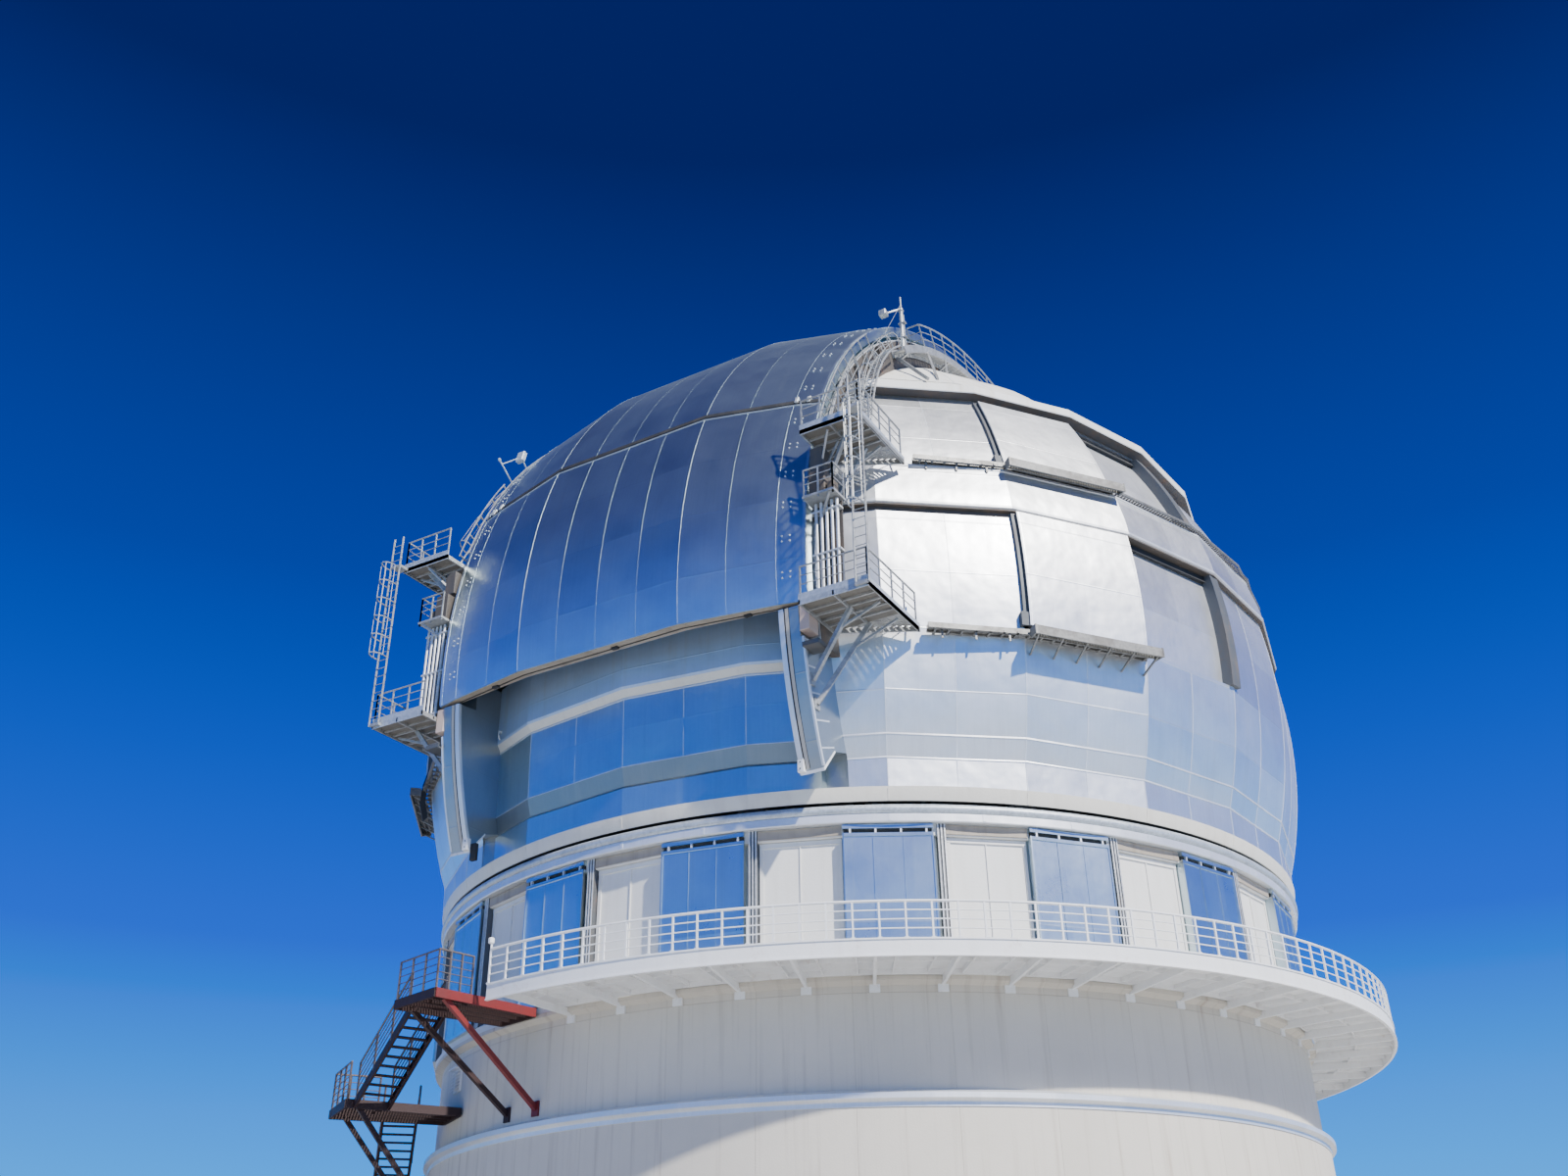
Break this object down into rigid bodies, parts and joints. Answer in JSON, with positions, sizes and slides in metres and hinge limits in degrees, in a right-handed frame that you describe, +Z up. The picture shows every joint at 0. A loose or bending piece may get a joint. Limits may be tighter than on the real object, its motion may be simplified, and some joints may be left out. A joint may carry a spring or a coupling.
{
  "type": "observatory dome, 1:2 scale model",
  "caption": "Round observatory building with a rotating metal dome, an over-the-top slit shutter in two leaves, a gallery and an outside stair, as a half-size scale model.",
  "frame": {"origin": "centre of the dome's vertical axis at ground level", "axes": "+Z up along the dome axis, -Y out of the slit, +X to the right of the slit seen from inside towards the front viewer"},
  "size_m": [17.934, 18.7009, 20.66],
  "materials": {
    "concrete": "matte",
    "floor_screed": "matte",
    "aluminium": "satin",
    "pale_panel": "satin",
    "crown_cap": "matte",
    "cladding": "satin",
    "galvanised": "matte",
    "white_steel": "satin",
    "oxide_red": "matte"
  },
  "bodies": {
    "building": {"ground_floor": "floor_screed", "drum_wall_1": "concrete", "drum_wall_2": "concrete", "drum_wall_3": "concrete", "drum_wall_4": "concrete", "observing_floor": "floor_screed", "vent_wall_1": "pale_panel", "vent_wall_2": "pale_panel", "vent_wall_3": "pale_panel", "vent_wall_4": "pale_panel", "ring_beam": "aluminium", "walkway_deck": "white_steel", "walkway_railing_front": "white_steel", "walkway_railing_back": "white_steel", "stair_top_landing": "oxide_red", "stair_upper_flight": "oxide_red", "stair_middle_landing": "oxide_red", "stair_lower_flight": "oxide_red", "stair_third_flight": "oxide_red", "stair_ground_flight": "oxide_red"},
    "dome": {"skirt_ring": "pale_panel", "shell_lower_right": "aluminium", "shell_lower_left": "aluminium", "shell_middle_right": "aluminium", "shell_middle_left": "aluminium", "vent_panel_middle_right": "aluminium", "vent_panel_middle_left": "aluminium", "shell_upper_right": "aluminium", "shell_upper_left": "aluminium", "vent_panel_upper_right": "aluminium", "vent_panel_upper_left": "aluminium", "crown_right": "crown_cap", "crown_left": "crown_cap", "arch_girder_right": "cladding", "arch_girder_left": "cladding", "arch_leg_right": "cladding", "arch_leg_left": "cladding", "front_wall": "aluminium", "rear_wall": "aluminium", "vent_track_lower_right": "galvanised", "vent_track_lower_left": "galvanised", "vent_track_upper_right": "galvanised", "vent_track_upper_left": "galvanised", "platform_lower_right": "galvanised", "platform_lower_left": "galvanised", "platform_upper_right": "galvanised", "platform_upper_left": "galvanised", "tower_ladder_right": "galvanised", "tower_ladder_left": "galvanised", "arch_ladder_right": "galvanised", "arch_ladder_left": "galvanised", "crown_walk_right": "galvanised", "crown_walk_left": "galvanised"},
    "upper_leaf": {"shutter_upper": "aluminium"},
    "lower_leaf": {"shutter_lower": "aluminium"}
  },
  "joints": [
    {"name": "dome_turn", "type": "hinge", "parent": "building", "child": "dome", "pos_m": [0, 0, 0], "axis": [0, 0, 1], "continuous": true},
    {"name": "upper_leaf_open", "type": "hinge", "parent": "dome", "child": "upper_leaf", "pos_m": [0, 0, 11.745], "axis": [-1, 0, 0], "range_deg": [0, 86]},
    {"name": "lower_leaf_open", "type": "hinge", "parent": "dome", "child": "lower_leaf", "pos_m": [0, 0, 11.745], "axis": [-1, 0, 0], "range_deg": [0, 86]}
  ],
  "couplings": [
    {"joint": "lower_leaf_open", "follows": "upper_leaf_open", "ratio": 1}
  ]
}
